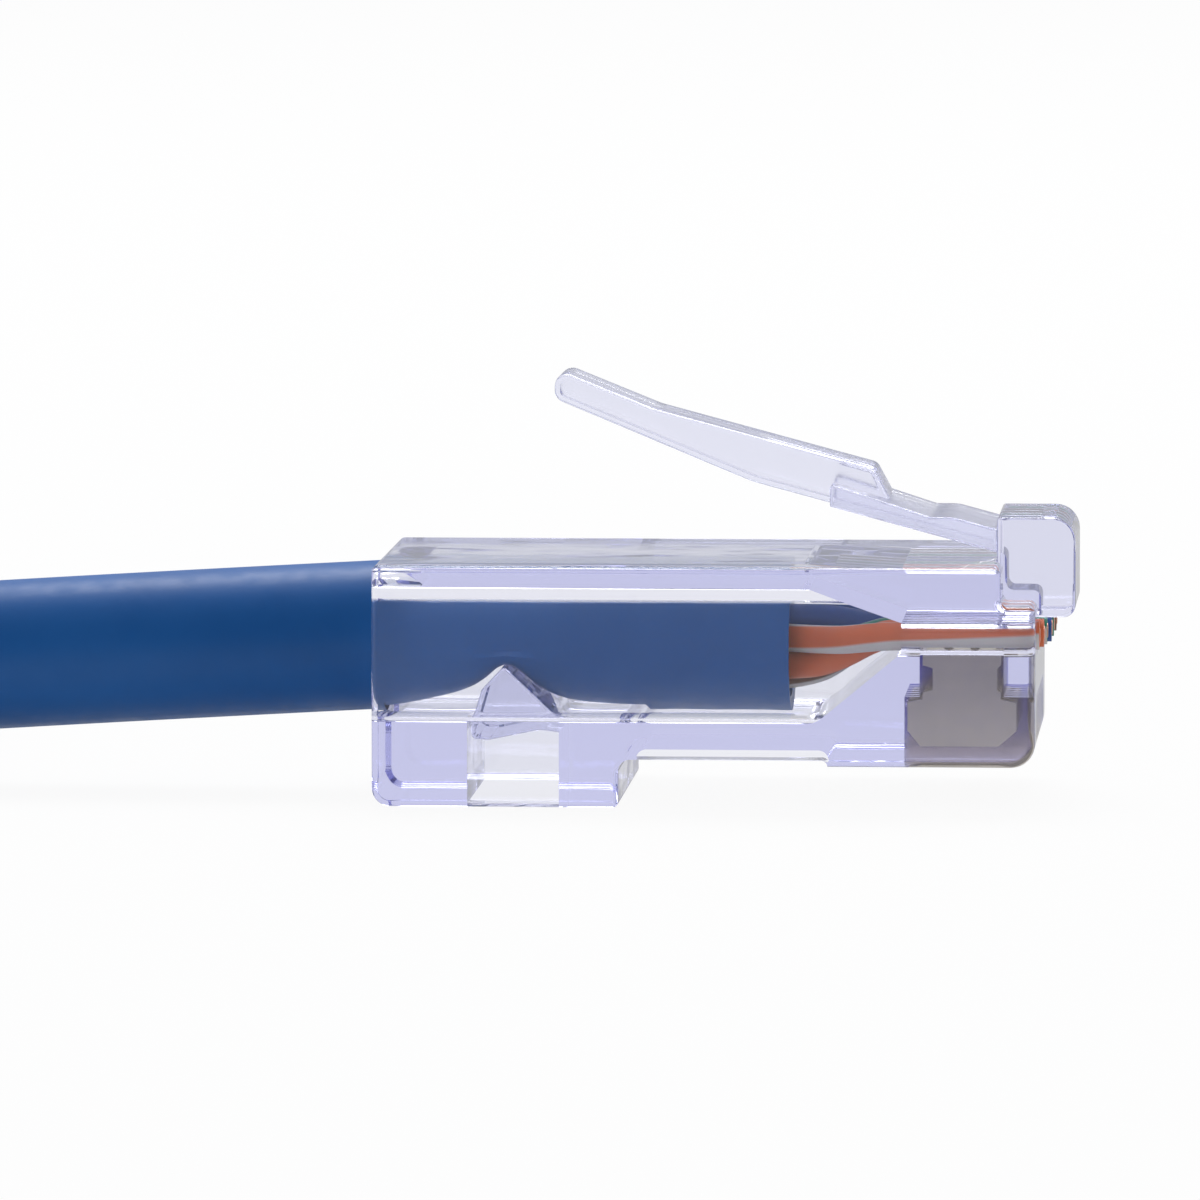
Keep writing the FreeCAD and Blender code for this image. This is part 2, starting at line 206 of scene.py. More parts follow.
def arc_outline(corners, inset):
    """Closed outline through corners (u, v, radius), rounded by their radii, drawn in all round."""
    at = [Vector(c[:2]) for c in corners]
    size = len(at)
    area = sum(a.x * b.y - b.x * a.y for a, b in zip(at, at[1:] + at[:1]))
    side = 1 if area > 0 else -1
    ahead = [(at[(i + 1) % size] - at[i]).normalized() for i in range(size)]
    inward = [Vector((-d.y, d.x)) * side for d in ahead]
    points = []
    for i, corner in enumerate(corners):
        n, m = inward[i - 1], inward[i]
        here = at[i] + (n + m) * (inset / (1 + n.dot(m)))
        radius = corner[2] if len(corner) > 2 else 0
        turned = ahead[i - 1].x * ahead[i].y - ahead[i - 1].y * ahead[i].x
        if radius == 0 or abs(turned) < straight:
            points.append(here)
            continue
        radius = radius - inset if turned * side > 0 else radius + inset
        radius = max(radius, least_r)
        half = (math.pi - ahead[i - 1].angle(ahead[i])) / 2
        centre = here + (ahead[i] - ahead[i - 1]).normalized() * (radius / math.sin(half))
        first = here - ahead[i - 1] * (radius / math.tan(half)) - centre
        sweep = math.copysign(math.pi - 2 * half, turned)
        for k in range(arc_steps + 1):
            angle = sweep * k / arc_steps
            cos, sin = math.cos(angle), math.sin(angle)
            points.append(centre + Vector((first.x * cos - first.y * sin,
                                           first.x * sin + first.y * cos)))
    return points


def prism(corners, low, high, axis, rim=0.0):
    """Mesh of an outline drawn out between two values of an axis, both its rims rounded by rim."""
    place = {"x": lambda p, w: (w, p.x, p.y), "y": lambda p, w: (p.x, w, p.y)}[axis]
    bends = [math.pi / 2 * k / rim_steps for k in range(rim_steps + 1)] if rim > 0 else [0.0]
    levels = [(rim * (1 - math.sin(t)), low + rim * (1 - math.cos(t))) for t in bends]
    levels += [(inset, low + high - w) for inset, w in reversed(levels)]
    mesh = bmesh.new()
    rings = [[mesh.verts.new(place(p, w)) for p in arc_outline(corners, inset)]
             for inset, w in levels]
    mesh.faces.new(rings[0])
    mesh.faces.new(rings[-1])
    join_rings(mesh, rings)
    bmesh.ops.recalc_face_normals(mesh, faces=mesh.faces)
    return finished_mesh(mesh, "part")


def join_rings(mesh, rings):
    """Faces between each ring of vertices and the next."""
    size = len(rings[0])
    for first, second in zip(rings, rings[1:]):
        for i in range(size):
            j = (i + 1) % size
            mesh.faces.new((first[i], first[j], second[j], second[i]))


def finished_mesh(mesh, name):
    data = bpy.data.meshes.new(name)
    mesh.to_mesh(data)
    mesh.free()
    return data


def combined(base, others, how):
    """Mesh of base joined with, cut by or kept inside the others."""
    base_object = bpy.data.objects.new("base", base)
    bpy.context.collection.objects.link(base_object)
    made = []
    for data in others:
        other = bpy.data.objects.new("other", data)
        bpy.context.collection.objects.link(other)
        modifier = base_object.modifiers.new("op", "BOOLEAN")
        modifier.operation = how
        modifier.solver = "EXACT"
        modifier.object = other
        made.append(other)
    bpy.context.view_layer.update()
    evaluated = base_object.evaluated_get(bpy.context.evaluated_depsgraph_get())
    result = bpy.data.meshes.new_from_object(evaluated)
    for other in made + [base_object]:
        bpy.data.objects.remove(other)
    return result


def add_piece(name, data, place, material, weighted=True):
    """Object of a mesh made in millimetres, placed in the row frame and smoothed up to an angle."""
    data = data.copy()
    data.transform(place @ Matrix.Scale(MM, 4))
    data.materials.clear()
    data.materials.append(material)
    for polygon in data.polygons:
        polygon.use_smooth = True
    data.set_sharp_from_angle(angle=smooth_angle)
    piece = bpy.data.objects.new(name, data)
    bpy.context.collection.objects.link(piece)
    if weighted:
        modifier = piece.modifiers.new("flat_normals", "WEIGHTED_NORMAL")
        modifier.keep_sharp = True
    return piece


def wire_y(i):
    return (i - (count - 1) / 2) * pitch


# ------------------------------------------------------------------ clear moulding
def mouth_mesh():
    """Arched opening at the rear, higher than the bore and sloping down to its roof."""
    wide, narrow = cable_d / 2 + mouth_wider, cable_d / 2 - mouth_narrower
    low, high = bore_roof - past, bore_top + mouth_over
    arch = prism([(-wide, low), (wide, low), (narrow, high, mouth_r), (-narrow, high, mouth_r)],
                 -past, mouth_l + mouth_over, "x")
    side = prism([(-behind, 0), (mouth_l, 0), (mouth_l, bore_roof - mouth_side),
                  (mouth_l, bore_roof, mouth_slope_r), (mouth_flat, high, mouth_slope_r),
                  (-behind, high)], -half_w, half_w, "y")
    return combined(arch, [side], "INTERSECT")


def bore_mesh():
    """Tunnel with chamfered roof corners, narrowing to the guide holes' height in a funnel."""
    wall = bore_w / 2
    chamfer = [(wall, bore_roof - roof_cut, roof_r), (wall - roof_cut, bore_roof + roof_over, roof_r)]
    mirrored = [(-y, z, r) for y, z, r in reversed(chamfer)]
    tunnel = prism([(-wall, bore_low, floor_r), (wall, bore_low, floor_r)] + chamfer + mirrored,
                   -past, funnel_end + past, "x")
    profile = prism([(-behind, bore_low), (funnel_low, bore_low, funnel_r),
                     (funnel_end, wire_z - hole_d / 2), (funnel_end, wire_z + hole_d / 2),
                     (funnel_high, bore_roof, funnel_r), (-behind, bore_roof)],
                    -half_w, half_w, "y")
    return combined(tunnel, [profile], "INTERSECT")


def hole_mesh(i):
    """Guide hole of a wire, a little deeper than it is wide."""
    ring = []
    for k in range(hole_sides):
        a = 2 * math.pi * (k + 0.5) / hole_sides
        tall = hole_d / 2 + max(-math.sin(a), 0) * hole_drop
        ring.append((wire_y(i) + hole_d / 2 * math.cos(a), wire_z + tall * math.sin(a)))
    return prism(ring, funnel_end - hole_before, body_l + hole_past, "x")


def slot_mesh(i):
    """Slot of a blade, open at the nose and below, narrower where the blade's neck goes up."""
    contact_low, contact_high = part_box(f"contact_{i + 1}")
    rear = (contact_low[0] - housing_low[0]) / MM
    front = (contact_high[0] - housing_low[0]) / MM
    foot = contact_low[2] / MM + foot_h
    nose = body_l + slot_past
    outline = [(rear - slot_gap, slot_low), (nose, slot_low), (nose, foot),
               (front - neck_front, foot), (front - neck_front, wire_z),
               (rear + neck_rear, wire_z), (rear + neck_rear, foot), (rear - slot_gap, foot)]
    return prism(outline, wire_y(i) - slot_w / 2, wire_y(i) + slot_w / 2, "y")


def body_mesh():
    """Nose, ledge, latch root, bore, funnel, guide holes, blade slots, window and pressed-in bar."""
    block = prism([(0, 0, ledge_r[0]), (ledge_l, 0, ledge_r[1]), (ledge_l, ledge_h, ledge_r[2]),
                   (body_l, ledge_h, nose_r), (body_l, top_z - step_h, edge_r),
                   (body_l - step_l, top_z - step_h, edge_r), (body_l - step_l, top_z, edge_r),
                   (0, top_z, edge_r)], -half_w, half_w, "y", rim_r)
    root = prism([(root_rear, root_low), (root_front, root_low, root_r / 2),
                  (root_front, root_top, root_r), (root_rear, root_top, root_rim)],
                 -latch_w / 2, latch_w / 2, "y", root_rim)
    block = combined(block, [root], "UNION")
    mouth = mouth_mesh()
    web = prism(rectangle(wire_y(0), wire_y(count - 1), wire_z - web_cut / 2, wire_z + web_cut / 2),
                funnel_end - web_before, body_l + past, "x")
    cuts = [bore_mesh(), mouth, web]
    for i in range(count):
        cuts += [hole_mesh(i), slot_mesh(i)]
    window = prism(rectangle(bar_rear, bar_front, -past, cable_z),
                   -bar_w / 2 - bar_gap, bar_w / 2 + bar_gap, "y")
    recess = prism(rectangle(*recess_x, -past, ledge_h + recess_h, recess_r, recess_r),
                   -recess_w / 2, recess_w / 2, "y")
    underside = prism(rectangle(ledge_l, recess_x[1], -past, ledge_h + underside_step, *underside_r),
                      -half_w - past, half_w + past, "y")
    block = combined(block, cuts + [window, recess, underside], "DIFFERENCE")
    bar = prism([(bar_rear + p[0], bore_low + p[1], *p[2:]) for p in bar_shape],
                -bar_w / 2, bar_w / 2, "y", bar_rim)
    return combined(block, [bar], "UNION")


def under(x):
    """Height of the latch's underside."""
    root = hinge_z - plate_t / 2 / math.cos(slope)
    lever = (hinge_x - max(x, bend_x)) * math.tan(slope)
    return root + lever + max(bend_x - x, 0) * math.tan(tip_slope)


def latch_mesh():
    """Springy plate with its shoulders, and the lever behind them."""
    plate_rise = plate_t / math.cos(slope)
    lever_rise = lever_t / math.cos(slope)
    flex = [root_rear - seam - flex_step * k for k in range(flex_count)]
    plate = prism([(x, under(x)) for x in reversed(flex)]
                  + [(x, min(under(x) + plate_rise, root_top)) for x in flex]
                  + [(shoulder_x, under(shoulder_x) + plate_rise, shoulder_r[0]),
                     (shoulder_x, under(shoulder_x), shoulder_r[1])],
                  -latch_w / 2, latch_w / 2, "y", plate_rim)
    over = under(step_x[0]) + lever_rise + (step_x[0] - bend_top_x) * math.tan(slope)
    lever = prism([(step_x[1], under(step_x[1]) + lap), (step_x[1], under(step_x[1]) + plate_rise),
                   (step_x[0], under(step_x[0]) + lever_rise, step_r),
                   (bend_top_x, over, bend_top_r), (tip_x, under(tip_x) + tip_t, tip_r),
                   (tip_x, under(tip_x), tip_r), (bend_x, under(bend_x), bend_r)],
                  -lever_w / 2, lever_w / 2, "y", lever_rim)
    return combined(plate, [lever], "UNION")


# ------------------------------------------------------------------ jacket, wires and copper
def tube_mesh(path, radius, sides=wire_sides):
    """Closed tube along points, radius a number or a function of the point's index.

    Its UV runs in millimetres along it and in turns round it.
    """
    mesh = bmesh.new()
    layer = mesh.loops.layers.uv.new("UVMap")
    rings = []
    up = Vector((0, 0, 1))
    travelled = [0.0]
    for i, point in enumerate(path):
        ahead = (path[min(i + 1, len(path) - 1)] - path[max(i - 1, 0)]).normalized()
        side = ahead.cross(up).normalized()
        up = side.cross(ahead).normalized()
        r = radius(i) if callable(radius) else radius
        rings.append([mesh.verts.new(point + (side * math.cos(a) + up * math.sin(a)) * r)
                      for a in (2 * math.pi * k / sides for k in range(sides))])
        if i:
            travelled.append(travelled[-1] + (point - path[i - 1]).length)
    for i in range(len(rings) - 1):
        for k in range(sides):
            j = (k + 1) % sides
            face = mesh.faces.new((rings[i][k], rings[i][j], rings[i + 1][j], rings[i + 1][k]))
            turns = (k / sides, (k + 1) / sides, (k + 1) / sides, k / sides)
            along = (travelled[i], travelled[i], travelled[i + 1], travelled[i + 1])
            for loop, u, v in zip(face.loops, along, turns):
                loop[layer].uv = (u, v)
    mesh.faces.new(rings[0])
    mesh.faces.new(rings[-1])
    bmesh.ops.recalc_face_normals(mesh, faces=mesh.faces)
    return finished_mesh(mesh, "tube")


def smooth_path(points):
    """Catmull-Rom points through the given ones."""
    at = [Vector(p) for p in points]
    at = [at[0] * 2 - at[1]] + at + [at[-1] * 2 - at[-2]]
    made = []
    for i in range(1, len(at) - 2):
        a, b, c, d = at[i - 1:i + 3]
        for k in range(path_steps):
            t = k / path_steps
            made.append(0.5 * ((2 * b) + (c - a) * t + (2 * a - 5 * b + 4 * c - d) * t * t
                               + (3 * b - 3 * c + d - a) * t ** 3))
    return made + [at[-2]]


def wire_route(i):
    """From the jacket's open end, fanning out between two rows and then lifting into one."""
    y, z = bundle[i][0], cable_z + bundle[i][1]
    row = wire_y(i)
    inside = [(jacket_l - x, y, z) for x in wire_in]
    fanned = [(x, y + (row - y) * across, z + (wire_z - z) * up) for x, across, up in fan]
    level = [(x, row, wire_z) for x in (*wire_level, body_l + wire_out[i])]
    return smooth_path(inside + fanned + level)


def dent_at(x):
    """How far the jacket's underside is pushed up at x, straight between the listed places."""
    for (a, low), (b, high) in zip(dent, dent[1:]):
        if a <= x <= b:
            t = (x - a) / (b - a)
            return low + (high - low) * t
    return 0.0


def jacket_ring(x, shrink):
    """Points round the jacket at x: a circle that turns into an oval, its underside dented."""
    ease = smoothstep(x / squeeze_l)
    wide = cable_d / 2 + ease * (pressed_w - cable_d / 2) - shrink
    tall = cable_d / 2 + ease * (pressed_h - cable_d / 2) - shrink
    middle = cable_z + ease * (bore_low + floor_gap + pressed_h - cable_z)
    power = 2 / (2 + ease * squareness)
    lift = (dent_at(x - dent_reach) + dent_at(x) + dent_at(x + dent_reach)) / 3
    points = []
    for k in range(jacket_sides):
        a = 2 * math.pi * k / jacket_sides
        y, z = wide * math.cos(a), tall * math.sin(a)
        if z > 0:
            y = math.copysign(abs(math.cos(a)) ** power, math.cos(a)) * wide
            z = abs(math.sin(a)) ** power * tall
        if z < 0 and lift > 0:
            floor = -tall + lift
            if z - floor < dent_depth:
                z = floor + dent_soft * math.log1p(math.exp((z - floor) / dent_soft))
            z = min(z, dent_top)
            y *= 1 + dent_bulge * lift
        points.append((x, y, middle + z))
    return points


def jacket_mesh():
    """Squeezed oval end of the jacket, pushed up by the bar, open at its front."""
    mesh = bmesh.new()
    places = [(jacket_l * i / jacket_rings, 0.0) for i in range(jacket_rings + 1)]
    places += [(jacket_l, jacket_wall / 2), (jacket_l - jacket_lip, jacket_wall),
               (jacket_l - jacket_hollow, jacket_wall)]
    rings = [[mesh.verts.new(p) for p in jacket_ring(x, shrink)] for x, shrink in places]
    join_rings(mesh, rings)
    mesh.faces.new(rings[0])
    mesh.faces.new(rings[-1])
    bmesh.ops.recalc_face_normals(mesh, faces=mesh.faces)
    return finished_mesh(mesh, "jacket")


def copper_mesh():
    """Cut copper ends, just proud of the insulation."""
    joined = bmesh.new()
    for i in range(count):
        cut = body_l + wire_out[i]
        places = (body_l - core_in, cut + core_out[0], cut + core_out[1])
        joined.from_mesh(tube_mesh([Vector((x, wire_y(i), wire_z)) for x in places],
                                   lambda k: core_d / 2 * (1.0, 1.0, core_tip)[k], core_sides))
    return finished_mesh(joined, "copper")


# ------------------------------------------------------------------ materials
def new_material(name):
    material = bpy.data.materials.new(name)
    material.use_nodes = True
    shader = material.node_tree.nodes["Principled BSDF"]
    return material, material.node_tree, shader


def calculated(tree, operation, *sources):
    """Result of a math node on sockets and numbers."""
    node = tree.nodes.new("ShaderNodeMath")
    node.operation = operation
    for socket, source in zip(node.inputs, sources):
        if isinstance(source, bpy.types.NodeSocket):
            tree.links.new(source, socket)
        else:
            socket.default_value = source
    return node.outputs[0]


def mixed(tree, share, first, second):
    """Two shaders mixed by a share of the second."""
    node = tree.nodes.new("ShaderNodeMixShader")
    for socket, source in zip(node.inputs, (share, first, second)):
        tree.links.new(source, socket)
    return node.outputs[0]


def noise(tree, scale, detail=4.0):
    coords = tree.nodes.new("ShaderNodeTexCoord")
    texture = tree.nodes.new("ShaderNodeTexNoise")
    texture.inputs["Scale"].default_value = scale
    texture.inputs["Detail"].default_value = detail
    tree.links.new(coords.outputs["Object"], texture.inputs["Vector"])
    return texture.outputs["Fac"]


def ramp(tree, source, low, high, start, end):
    """Colour ramp between two colours."""
    node = tree.nodes.new("ShaderNodeValToRGB")
    node.color_ramp.elements[0].position = start
    node.color_ramp.elements[1].position = end
    node.color_ramp.elements[0].color = (*low, 1)
    node.color_ramp.elements[1].color = (*high, 1)
    tree.links.new(source, node.inputs["Fac"])
    return node.outputs["Color"]


def vary_roughness(tree, shader, scale, low, high, start=0.35, end=0.65):
    """Roughness that varies in spots between two values."""
    spots = ramp(tree, noise(tree, scale), (low,) * 3, (high,) * 3, start, end)
    tree.links.new(spots, shader.inputs["Roughness"])


def bump(tree, source, shader, strength, distance):
    node = tree.nodes.new("ShaderNodeBump")
    node.inputs["Strength"].default_value = strength
    node.inputs["Distance"].default_value = distance
    tree.links.new(source, node.inputs["Height"])
    tree.links.new(node.outputs["Normal"], shader.inputs["Normal"])


def clear_material(name, surface, tint, rough):
    """Clear polycarbonate whose violet cast deepens with its thickness."""
    material, tree, shader = new_material(name)
    shader.inputs["Base Color"].default_value = (*surface, 1)
    shader.inputs["IOR"].default_value = 1.585
    shader.inputs["Transmission Weight"].default_value = 1.0
    vary_roughness(tree, shader, 900.0, *rough, 0.45, 0.75)
    bump(tree, noise(tree, 420.0, 1.0), shader, 0.2, 0.00005)
    absorb = tree.nodes.new("ShaderNodeVolumeAbsorption")
    absorb.inputs["Color"].default_value = (*tint, 1)
    absorb.inputs["Density"].default_value = 60.0
    tree.links.new(absorb.outputs["Volume"], tree.nodes["Material Output"].inputs["Volume"])
    return material


def jacket_material():
    """Blue PVC: satin and slightly mottled."""
    material, tree, shader = new_material("jacket_pvc")
    tint = ramp(tree, noise(tree, 260.0), (0.010, 0.122, 0.425), (0.014, 0.138, 0.465), 0.35, 0.65)
    tree.links.new(tint, shader.inputs["Base Color"])
    shader.inputs["Specular IOR Level"].default_value = 0.3
    vary_roughness(tree, shader, 1400.0, 0.36, 0.46)
    bump(tree, noise(tree, 2600.0), shader, 0.12, 0.00004)
    return material


def wire_material(name, main, stripe):
    """Polyethylene insulation, with a stripe that winds slowly round it where the wire has one."""
    material, tree, shader = new_material(name)
    shader.inputs["Subsurface Weight"].default_value = 0.1
    shader.inputs["Subsurface Scale"].default_value = 0.0003
    coords = tree.nodes.new("ShaderNodeTexCoord")
    split = tree.nodes.new("ShaderNodeSeparateXYZ")
    tree.links.new(coords.outputs["UV"], split.inputs["Vector"])
    turned = calculated(tree, "ADD", split.outputs["Y"], stripe_start)
    wound = calculated(tree, "MULTIPLY_ADD", split.outputs["X"], stripe_wind, turned)
    beside = calculated(tree, "PINGPONG", calculated(tree, "FRACT", wound), 0.5)
    tint = ramp(tree, beside, stripe, main, *stripe_edge)
    tree.links.new(tint, shader.inputs["Base Color"])
    vary_roughness(tree, shader, 1800.0, 0.4, 0.55, 0.4, 0.6)
    return material


def metal_material(name, dark, light, low, high, scale):
    """Slightly mottled metal."""
    material, tree, shader = new_material(name)
    shader.inputs["Metallic"].default_value = 1.0
    tint = ramp(tree, noise(tree, scale), dark, light, 0.35, 0.65)
    tree.links.new(tint, shader.inputs["Base Color"])
    vary_roughness(tree, shader, scale * 3, low, high)
    return material


def strap_material():
    """Black woven hook-and-loop strap."""
    material, tree, shader = new_material("strap_weave")
    weave = tree.nodes.new("ShaderNodeTexWave")
    weave.inputs["Scale"].default_value = 420.0
    weave.inputs["Distortion"].default_value = 2.0
    coords = tree.nodes.new("ShaderNodeTexCoord")
    tree.links.new(coords.outputs["Object"], weave.inputs["Vector"])
    tint = ramp(tree, weave.outputs["Fac"], (0.01, 0.01, 0.012), (0.035, 0.035, 0.04), 0.2, 0.8)
    tree.links.new(tint, shader.inputs["Base Color"])
    shader.inputs["Sheen Weight"].default_value = 0.3
    bump(tree, weave.outputs["Fac"], shader, 0.5, 0.0002)
    vary_roughness(tree, shader, 3000.0, 0.75, 0.95, 0.3, 0.7)
    return material


white = (0.84, 0.80, 0.77)
orange, green = (0.93, 0.21, 0.08), (0.03, 0.30, 0.20)
blue, brown = (0.04, 0.12, 0.42), (0.20, 0.08, 0.03)
insulation = [("wire_white_orange", white, orange), ("wire_orange", orange, orange),
              ("wire_white_green", white, green), ("wire_blue", blue, blue),
              ("wire_white_blue", white, blue), ("wire_green", green, green),
              ("wire_white_brown", white, brown), ("wire_brown", brown, brown)]
violet = (0.3, 0.31, 0.80)

clear = clear_material("clear_polycarbonate", (0.95, 0.955, 0.96), violet, (0.0, 0.03))
# the slot walls' warm surface colour is a painted reflection of the gold blades; their roughness is
# their own
slot_clear_painted_reflection = clear_material("clear_polycarbonate_slots_painted_reflection", (0.985, 0.96, 0.905), violet, (0.08, 0.14))
latch_clear = clear_material("clear_polycarbonate_latch", (0.98, 0.985, 1.0), (0.1, 0.13, 0.75),
                             (0.14, 0.24))
jacket = jacket_material()
plating = metal_material("contact_plating", (0.83, 0.78, 0.60), (0.88, 0.82, 0.63), 0.3, 0.38, 1200.0)
copper = metal_material("copper_core", (0.75, 0.38, 0.25), (0.85, 0.45, 0.3), 0.25, 0.4, 4000.0)
strap = strap_material()
wires = [wire_material(*entry) for entry in insulation]


# ------------------------------------------------------------------ the two plugs
def mark_slots(body, place):
    """The blade slots' side walls are duller than the polished outside, and are tinted warm as a
    painted reflection of the gold blades.
    """
    body.data.materials.append(slot_clear_painted_reflection)
    back = (place @ Matrix.Scale(MM, 4)).inverted()
    first = wire_y(0) - slot_w
    for polygon in body.data.polygons:
        middle = back @ polygon.center
        across = (back.to_3x3() @ polygon.normal).normalized()
        inside = (funnel_end < middle.x < body_l and middle.z < wire_z
                  and first < middle.y < -first)
        if inside and abs(across.y) > wall_facing:
            polygon.material_index = 1


def make_plug(prefix, place):
    """All visible pieces of one plug."""
    body = add_piece(prefix + "clear_housing", body_data, place, clear)
    mark_slots(body, place)
    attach(body, "root")
    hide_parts(prefix + "housing")
    latch = add_piece(prefix + "clear_latch", latch_data, place, latch_clear)
    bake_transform(latch)
    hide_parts(prefix + "latch")
    sleeve = add_piece(prefix + "jacket_sleeve", jacket_data, place, jacket, weighted=False)
    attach(sleeve, "root")
    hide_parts(prefix + "jacket_end")
    pieces = [body, latch, sleeve]
    for i in range(count):
        name = f"{prefix}insulated_wire_{i + 1}"
        wire = add_piece(name, wire_data[i], place, wires[i], weighted=False)
        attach(wire, "root")
        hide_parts(f"{prefix}wire_{i + 1}")
        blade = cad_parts[f"{prefix}contact_{i + 1}"]
        blade.data.materials.clear()
        blade.data.materials.append(plating)
        soften = blade.modifiers.new("worn_edges", "BEVEL")
        soften.width = worn_edge * MM
        soften.segments = 2
        pieces += [wire, blade]
    ends = add_piece(prefix + "copper_ends", copper_data, place, copper, weighted=False)
    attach(ends, "root")
    return pieces + [ends]


body_data = body_mesh()
latch_data = latch_mesh()
jacket_data = jacket_mesh()
wire_data = [tube_mesh(wire_route(i), wire_d / 2) for i in range(count)]
copper_data = copper_mesh()
make_plug("", near_place)
far_pieces = make_plug("far_", far_place)


# ------------------------------------------------------------------ the lead
def coil_points():
    """Clockwise turns, the second laid on the first once it has come round."""
    reach = coil_r / math.cos(math.pi / turn_points) ** 0.5
    made = []
    for k in range(1, round(coiled * turn_points) + 1):
        turned = k / turn_points
        angle = -math.pi / 2 - 2 * math.pi * turned
        rise = smoothstep((turned - climb[0]) / (climb[1] - climb[0]))
        made.append((coil_at[0] + reach * math.cos(angle), coil_at[1] + reach * math.sin(angle),
                     tie_t + cable_d / 2 + cable_d * rise))
    return made


def make_cord():
    points = lead_route + coil_points() + tail_route
    curve = bpy.data.curves.new("cable", "CURVE")
    curve.dimensions = "3D"
    spline = curve.splines.new("NURBS")
    spline.points.add(len(points) - 1)
    for point, place in zip(spline.points, points):
        point.co = (*(Vector(place) * MM), 1)
    spline.order_u = 3
    spline.use_endpoint_u = True
    curve.resolution_u = 10
    curve.bevel_depth = cable_d / 2 * MM
    curve.bevel_resolution = 12
    curve.materials.append(jacket)
    piece = bpy.data.objects.new("cable_lead", curve)
    bpy.context.collection.objects.link(piece)
    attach(piece, "root")
    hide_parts("cord_lead", "cord_coil", "cord_tail")
    return piece


def make_tie():
    """Strap round the stacked turns."""
    turn = (Matrix.Translation((coil_at[0] * MM, coil_at[1] * MM, 0))
            @ Matrix.Rotation(tie_angle, 4, "Z"))
    half = cable_d / 2
    wide = half + tie_slack
    tall = 2 * coil_turns * half
    inner = [(-wide, tie_t), (wide, tie_t), (wide, tie_t + tall), (-wide, tie_t + tall)]
    outer = [(-wide - tie_t, 0), (wide + tie_t, 0), (wide + tie_t, tall + 2 * tie_t),
             (-wide - tie_t, tall + 2 * tie_t)]
    band = prism([(u + coil_r, v, half + tie_t) for u, v in outer], -tie_half, tie_half, "y", tie_rim)
    hole = prism([(u + coil_r, v, half) for u, v in inner], -tie_half - past, tie_half + past, "y")
    data = combined(band, [hole], "DIFFERENCE")
    piece = add_piece("coil_strap", data, turn, strap)
    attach(piece, "root")
    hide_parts("coil_tie")
    return piece


cord_piece = make_cord()
tie_piece = make_tie()


# ------------------------------------------------------------------ stage, light and camera
def level_by_ray(tree, paths, forward, turn, through_levels):
    """Brightness that glass (through) and gloss (off) see, and the share of the back in it."""
    part = tree.nodes.new("ShaderNodeMapRange")
    part.interpolation_type = "SMOOTHSTEP"
    part.inputs["From Min"].default_value = turn[0]
    part.inputs["From Max"].default_value = turn[1]
    tree.links.new(forward, part.inputs["Value"])
    share = part.outputs["Result"]
    pick = tree.nodes.new("ShaderNodeMix")
    tree.links.new(paths.outputs["Is Transmission Ray"], pick.inputs["Factor"])
    tree.links.new(between(tree, share, off_levels), pick.inputs["A"])
    tree.links.new(between(tree, share, through_levels), pick.inputs["B"])
    return pick.outputs["Result"], share


def between(tree, share, levels):
    """Value between two levels."""
    node = tree.nodes.new("ShaderNodeMapRange")
    node.inputs["To Min"].default_value = levels[0]
    node.inputs["To Max"].default_value = levels[1]
    tree.links.new(share, node.inputs["Value"])
    return node.outputs["Result"]


def ray_kinds(tree):
    """Light Path node, and its outputs for camera, gloss and glass."""
    paths = tree.nodes.new("ShaderNodeLightPath")
    kinds = [paths.outputs[f"Is {kind} Ray"] for kind in ("Camera", "Glossy", "Transmission")]
    return paths, *kinds


def stage_material():
    """White floor: lit softly, and filled to white where it is only a background."""
    material, tree, shader = new_material("studio_floor")
    shader.inputs["Base Color"].default_value = (*floor_hue, 1)
    shader.inputs["Roughness"].default_value = 0.9
    shader.inputs["Specular IOR Level"].default_value = 0.0
    paths, camera, gloss, through = ray_kinds(tree)
    place = tree.nodes.new("ShaderNodeNewGeometry")
    split = tree.nodes.new("ShaderNodeSeparateXYZ")
    tree.links.new(place.outputs["Position"], split.inputs["Vector"])
    level = level_by_ray(tree, paths, split.outputs["Y"], floor_turn, floor_levels)[0]
    glow = tree.nodes.new("ShaderNodeEmission")
    tree.links.new(calculated(tree, "MAXIMUM", level, camera), glow.inputs["Strength"])
    seen = calculated(tree, "MAXIMUM", calculated(tree, "MAXIMUM", camera, gloss), through)
    fill = calculated(tree, "MULTIPLY", seen, floor_fill)
    surface = mixed(tree, fill, shader.outputs[0], glow.outputs[0])
    tree.links.new(surface, tree.nodes["Material Output"].inputs["Surface"])
    return material


def make_floor():
    mesh = bmesh.new()
    bmesh.ops.create_circle(mesh, cap_ends=True, radius=stage_r, segments=64)
    data = finished_mesh(mesh, "floor")
    data.materials.append(stage_material())
    floor = bpy.data.objects.new("floor", data)
    floor.location.z = -stage_drop
    bpy.context.collection.objects.link(floor)


def background(tree, colour, strength):
    """Background shader of a colour and a strength, each a value or a socket."""
    node = tree.nodes.new("ShaderNodeBackground")
    for key, source in (("Color", colour), ("Strength", strength)):
        if isinstance(source, bpy.types.NodeSocket):
            tree.links.new(source, node.inputs[key])
        else:
            node.inputs[key].default_value = source
    return node.outputs[0]


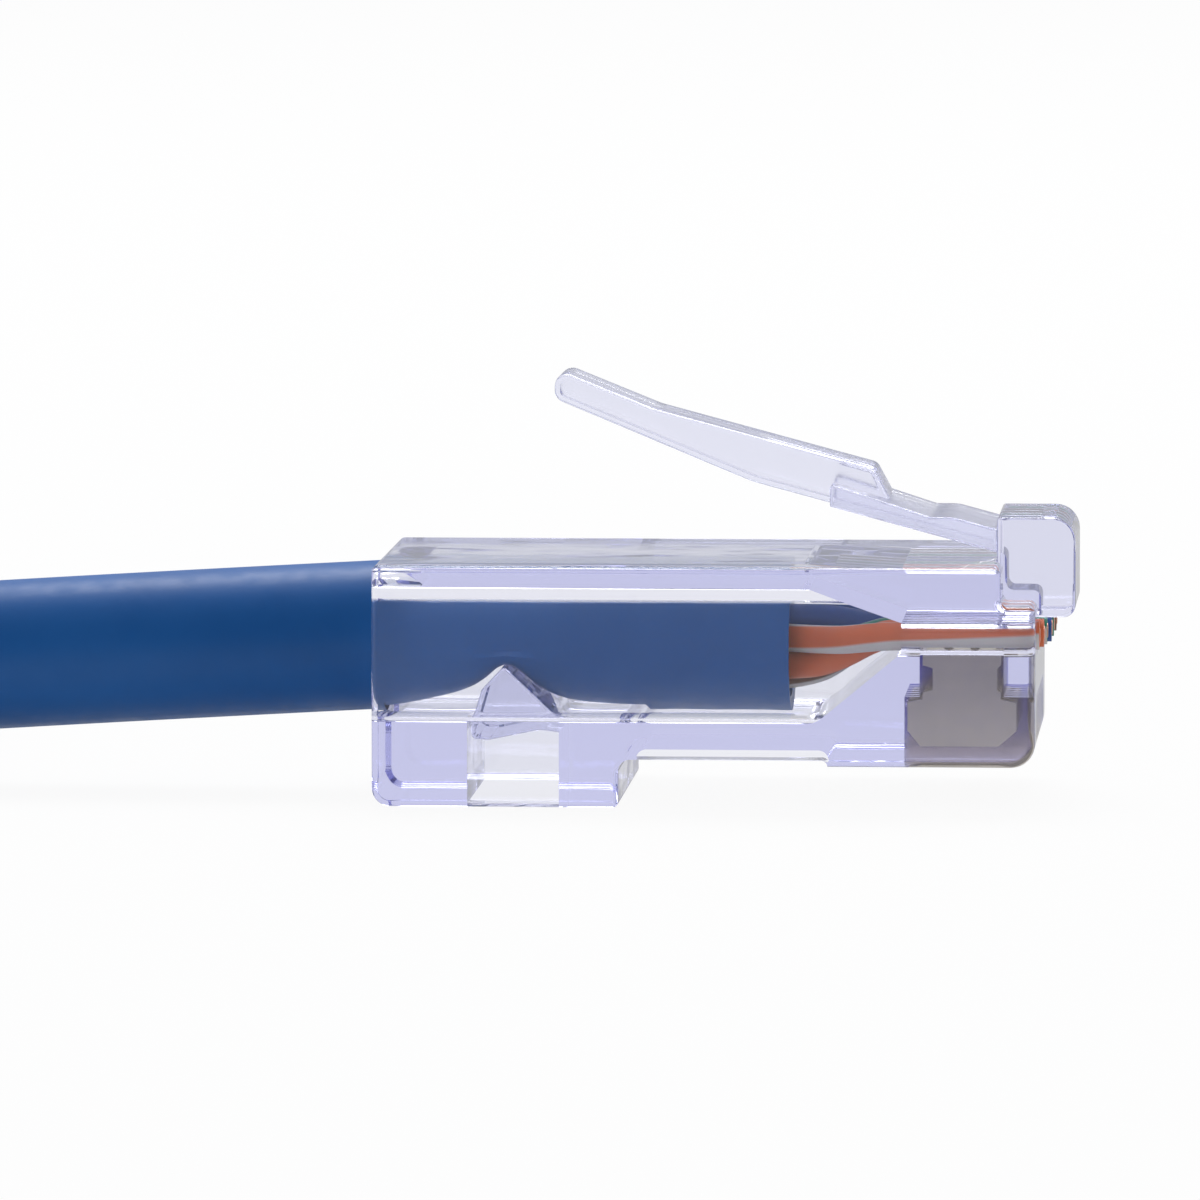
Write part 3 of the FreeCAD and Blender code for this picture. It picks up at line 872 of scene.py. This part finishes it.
def make_world():
    """Soft room: white to the camera and in glass, a little lilac in gloss, darker at the front."""
    world = bpy.data.worlds.new("studio")
    bpy.context.scene.world = world
    world.use_nodes = True
    world.cycles.sampling_method = "NONE"
    tree = world.node_tree
    tree.nodes.clear()
    out = tree.nodes.new("ShaderNodeOutputWorld")
    coords = tree.nodes.new("ShaderNodeTexCoord")
    split = tree.nodes.new("ShaderNodeSeparateXYZ")
    tree.links.new(coords.outputs["Generated"], split.inputs["Vector"])
    paths, camera, gloss, through = ray_kinds(tree)
    level, share = level_by_ray(tree, paths, split.outputs["Y"], room_turn, wall_levels)
    hue = tree.nodes.new("ShaderNodeMix")
    hue.data_type = "RGBA"
    hue.inputs[6].default_value = (*off_hue, 1)
    hue.inputs[7].default_value = (1, 1, 1, 1)
    tree.links.new(through, hue.inputs[0])
    seen = background(tree, hue.outputs[2], level)
    room = background(tree, (*room_hue, 1), between(tree, share, room_levels))
    plain = background(tree, (1, 1, 1, 1), 1.0)
    around = mixed(tree, calculated(tree, "MAXIMUM", through, gloss), room, seen)
    tree.links.new(mixed(tree, camera, around, plain), out.inputs["Surface"])


def make_lamp(name, place, size, power):
    lamp = bpy.data.lights.new(name, "AREA")
    lamp.shape = "DISK"
    lamp.size = size
    lamp.energy = power
    holder = bpy.data.objects.new(name, lamp)
    holder.location = place
    holder.rotation_mode = "QUATERNION"
    holder.rotation_quaternion = (-Vector(place)).to_track_quat("-Z", "Y")
    bpy.context.collection.objects.link(holder)


def make_camera():
    lens = bpy.data.cameras.new("camera")
    lens.sensor_width = sensor
    lens.lens = view_scale * view_from * sensor / view_pixels
    lens.clip_start, lens.clip_end = 0.01, 10.0
    camera = bpy.data.objects.new("camera", lens)
    level = math.cos(view_elevation)
    back = Vector((math.sin(view_azimuth) * level, -math.cos(view_azimuth) * level,
                   math.sin(view_elevation)))
    camera.location = Vector(aim) + back * view_from
    camera.rotation_mode = "QUATERNION"
    camera.rotation_quaternion = (-back).to_track_quat("-Z", "Y")
    bpy.context.collection.objects.link(camera)
    bpy.context.scene.camera = camera


def set_light_paths():
    """Enough bounces for light to pass through the whole clear moulding."""
    cycles = bpy.context.scene.cycles
    cycles.max_bounces = 24
    cycles.diffuse_bounces = 2
    cycles.glossy_bounces = 20
    cycles.transmission_bounces = 20
    cycles.caustics_reflective = False


make_floor()
make_world()
set_light_paths()
for lamp_facts in lamps:
    make_lamp(*lamp_facts)
make_camera()
bpy.context.scene.view_settings.view_transform = "Standard"
